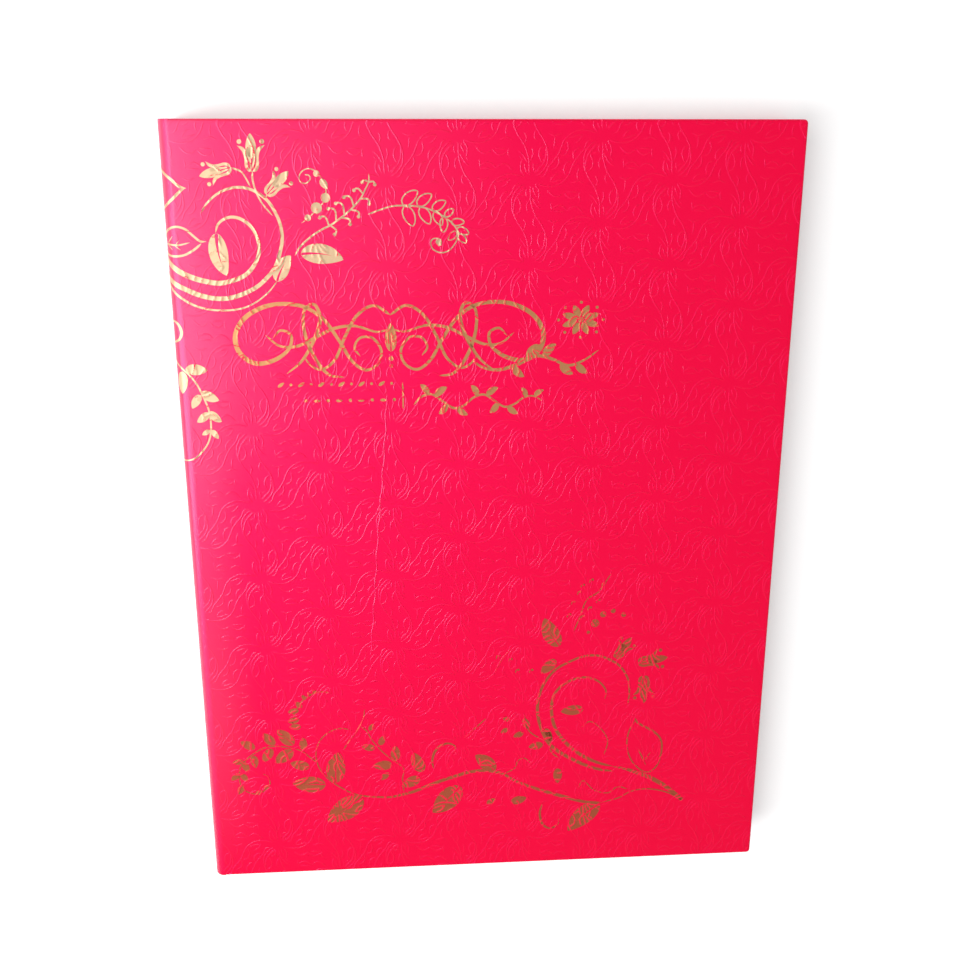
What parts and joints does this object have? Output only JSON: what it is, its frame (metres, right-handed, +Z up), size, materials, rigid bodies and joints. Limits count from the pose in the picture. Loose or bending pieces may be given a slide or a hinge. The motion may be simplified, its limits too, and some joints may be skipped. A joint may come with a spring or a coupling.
{
  "type": "stamp album",
  "caption": "Stamp album with embossed paper covers, a hinged square spine, and linen-hinged card leaves with clear pocket strips between glassine sheets.",
  "frame": {"origin": "middle of the footprint on the surface that the closed album lies on, back cover down", "axes": "+X from the spine to the fore-edge, +Y from the tail to the head, +Z up through the front cover"},
  "size_m": [0.23, 0.305, 0.022],
  "materials": {
    "cover_paper": "red embossed cover paper with a soft sheen, stamped with gold foil on the front",
    "board": "plain grey board",
    "lining_paper": "matt ivory lining paper",
    "guard_card": "matt card",
    "leaf_card": "smooth white card",
    "linen_tape": "fine plain-woven linen",
    "clear_film": "clear glossy film",
    "glassine": "translucent satin glassine"
  },
  "bodies": {
    "back_cover": {"back_board": "board", "back_wrap": "cover_paper", "back_liner": "lining_paper"},
    "spine": {"spine_board": "board", "spine_wrap": "cover_paper", "spine_lining": "lining_paper", "guard_strips": "guard_card", "back_joint_wrap": "cover_paper", "back_joint_lining": "lining_paper", "front_joint_wrap": "cover_paper", "front_joint_lining": "lining_paper"},
    "front_cover": {"front_board": "board", "front_wrap": "cover_paper", "front_liner": "lining_paper"},
    "leaf_1": {"leaf_1_card": "leaf_card", "leaf_1_tape": "linen_tape", "leaf_1_front_strips": "clear_film", "leaf_1_back_strips": "clear_film"},
    "interleaf_1": {"interleaf_1": "glassine"},
    "leaf_2": {"leaf_2_card": "leaf_card", "leaf_2_tape": "linen_tape", "leaf_2_front_strips": "clear_film", "leaf_2_back_strips": "clear_film"},
    "interleaf_2": {"interleaf_2": "glassine"},
    "leaf_3": {"leaf_3_card": "leaf_card", "leaf_3_tape": "linen_tape", "leaf_3_front_strips": "clear_film", "leaf_3_back_strips": "clear_film"},
    "interleaf_3": {"interleaf_3": "glassine"},
    "leaf_4": {"leaf_4_card": "leaf_card", "leaf_4_tape": "linen_tape", "leaf_4_front_strips": "clear_film", "leaf_4_back_strips": "clear_film"},
    "interleaf_4": {"interleaf_4": "glassine"},
    "leaf_5": {"leaf_5_card": "leaf_card", "leaf_5_tape": "linen_tape", "leaf_5_front_strips": "clear_film", "leaf_5_back_strips": "clear_film"},
    "interleaf_5": {"interleaf_5": "glassine"},
    "leaf_6": {"leaf_6_card": "leaf_card", "leaf_6_tape": "linen_tape", "leaf_6_front_strips": "clear_film", "leaf_6_back_strips": "clear_film"},
    "interleaf_6": {"interleaf_6": "glassine"},
    "leaf_7": {"leaf_7_card": "leaf_card", "leaf_7_tape": "linen_tape", "leaf_7_front_strips": "clear_film", "leaf_7_back_strips": "clear_film"},
    "interleaf_7": {"interleaf_7": "glassine"},
    "leaf_8": {"leaf_8_card": "leaf_card", "leaf_8_tape": "linen_tape", "leaf_8_front_strips": "clear_film", "leaf_8_back_strips": "clear_film"}
  },
  "joints": [
    {"name": "spine_fold", "type": "hinge", "parent": "back_cover", "child": "spine", "pos_m": [-0.11414, 0, 0.00086], "axis": [0, -1, 0], "range_deg": [0, 90], "deforming": ["back_joint_wrap", "back_joint_lining"]},
    {"name": "front_cover_turn", "type": "hinge", "parent": "spine", "child": "front_cover", "pos_m": [-0.11414, 0, 0.02114], "axis": [0, -1, 0], "range_deg": [0, 90], "deforming": ["front_joint_wrap", "front_joint_lining"]},
    {"name": "leaf_1_turn", "type": "hinge", "parent": "spine", "child": "leaf_1", "pos_m": [-0.1042, 0, 0.00417], "axis": [0, -1, 0], "range_deg": [-82, 0], "deforming": ["leaf_1_tape"]},
    {"name": "interleaf_1_turn", "type": "hinge", "parent": "spine", "child": "interleaf_1", "pos_m": [-0.1042, 0, 0.00515], "axis": [0, -1, 0], "range_deg": [-74, 0]},
    {"name": "leaf_2_turn", "type": "hinge", "parent": "spine", "child": "leaf_2", "pos_m": [-0.1042, 0, 0.00613], "axis": [0, -1, 0], "range_deg": [-66, 0], "deforming": ["leaf_2_tape"]},
    {"name": "interleaf_2_turn", "type": "hinge", "parent": "spine", "child": "interleaf_2", "pos_m": [-0.1042, 0, 0.0071], "axis": [0, -1, 0], "range_deg": [-58, 0]},
    {"name": "leaf_3_turn", "type": "hinge", "parent": "spine", "child": "leaf_3", "pos_m": [-0.1042, 0, 0.00808], "axis": [0, -1, 0], "range_deg": [-50, 0], "deforming": ["leaf_3_tape"]},
    {"name": "interleaf_3_turn", "type": "hinge", "parent": "spine", "child": "interleaf_3", "pos_m": [-0.1042, 0, 0.00905], "axis": [0, -1, 0], "range_deg": [-42, 0]},
    {"name": "leaf_4_turn", "type": "hinge", "parent": "spine", "child": "leaf_4", "pos_m": [-0.1042, 0, 0.01002], "axis": [0, -1, 0], "range_deg": [-34, 0], "deforming": ["leaf_4_tape"]},
    {"name": "interleaf_4_turn", "type": "hinge", "parent": "spine", "child": "interleaf_4", "pos_m": [-0.1042, 0, 0.011], "axis": [0, -1, 0], "range_deg": [-26, 0]},
    {"name": "leaf_5_turn", "type": "hinge", "parent": "spine", "child": "leaf_5", "pos_m": [-0.1042, 0, 0.01197], "axis": [0, -1, 0], "range_deg": [0, 34], "deforming": ["leaf_5_tape"]},
    {"name": "interleaf_5_turn", "type": "hinge", "parent": "spine", "child": "interleaf_5", "pos_m": [-0.1042, 0, 0.01295], "axis": [0, -1, 0], "range_deg": [0, 42]},
    {"name": "leaf_6_turn", "type": "hinge", "parent": "spine", "child": "leaf_6", "pos_m": [-0.1042, 0, 0.01392], "axis": [0, -1, 0], "range_deg": [0, 50], "deforming": ["leaf_6_tape"]},
    {"name": "interleaf_6_turn", "type": "hinge", "parent": "spine", "child": "interleaf_6", "pos_m": [-0.1042, 0, 0.0149], "axis": [0, -1, 0], "range_deg": [0, 58]},
    {"name": "leaf_7_turn", "type": "hinge", "parent": "spine", "child": "leaf_7", "pos_m": [-0.1042, 0, 0.01588], "axis": [0, -1, 0], "range_deg": [0, 66], "deforming": ["leaf_7_tape"]},
    {"name": "interleaf_7_turn", "type": "hinge", "parent": "spine", "child": "interleaf_7", "pos_m": [-0.1042, 0, 0.01685], "axis": [0, -1, 0], "range_deg": [0, 74]},
    {"name": "leaf_8_turn", "type": "hinge", "parent": "spine", "child": "leaf_8", "pos_m": [-0.1042, 0, 0.01783], "axis": [0, -1, 0], "range_deg": [0, 82], "deforming": ["leaf_8_tape"]}
  ],
  "couplings": [
    {"joint": "front_cover_turn", "follows": "spine_fold", "ratio": 1},
    {"joint": "leaf_1_turn", "follows": "spine_fold", "ratio": -0.91111},
    {"joint": "interleaf_1_turn", "follows": "spine_fold", "ratio": -0.82222},
    {"joint": "leaf_2_turn", "follows": "spine_fold", "ratio": -0.73333},
    {"joint": "interleaf_2_turn", "follows": "spine_fold", "ratio": -0.64444},
    {"joint": "leaf_3_turn", "follows": "spine_fold", "ratio": -0.55556},
    {"joint": "interleaf_3_turn", "follows": "spine_fold", "ratio": -0.46667},
    {"joint": "leaf_4_turn", "follows": "spine_fold", "ratio": -0.37778},
    {"joint": "interleaf_4_turn", "follows": "spine_fold", "ratio": -0.28889},
    {"joint": "leaf_5_turn", "follows": "spine_fold", "ratio": 0.37778},
    {"joint": "interleaf_5_turn", "follows": "spine_fold", "ratio": 0.46667},
    {"joint": "leaf_6_turn", "follows": "spine_fold", "ratio": 0.55556},
    {"joint": "interleaf_6_turn", "follows": "spine_fold", "ratio": 0.64444},
    {"joint": "leaf_7_turn", "follows": "spine_fold", "ratio": 0.73333},
    {"joint": "interleaf_7_turn", "follows": "spine_fold", "ratio": 0.82222},
    {"joint": "leaf_8_turn", "follows": "spine_fold", "ratio": 0.91111}
  ]
}
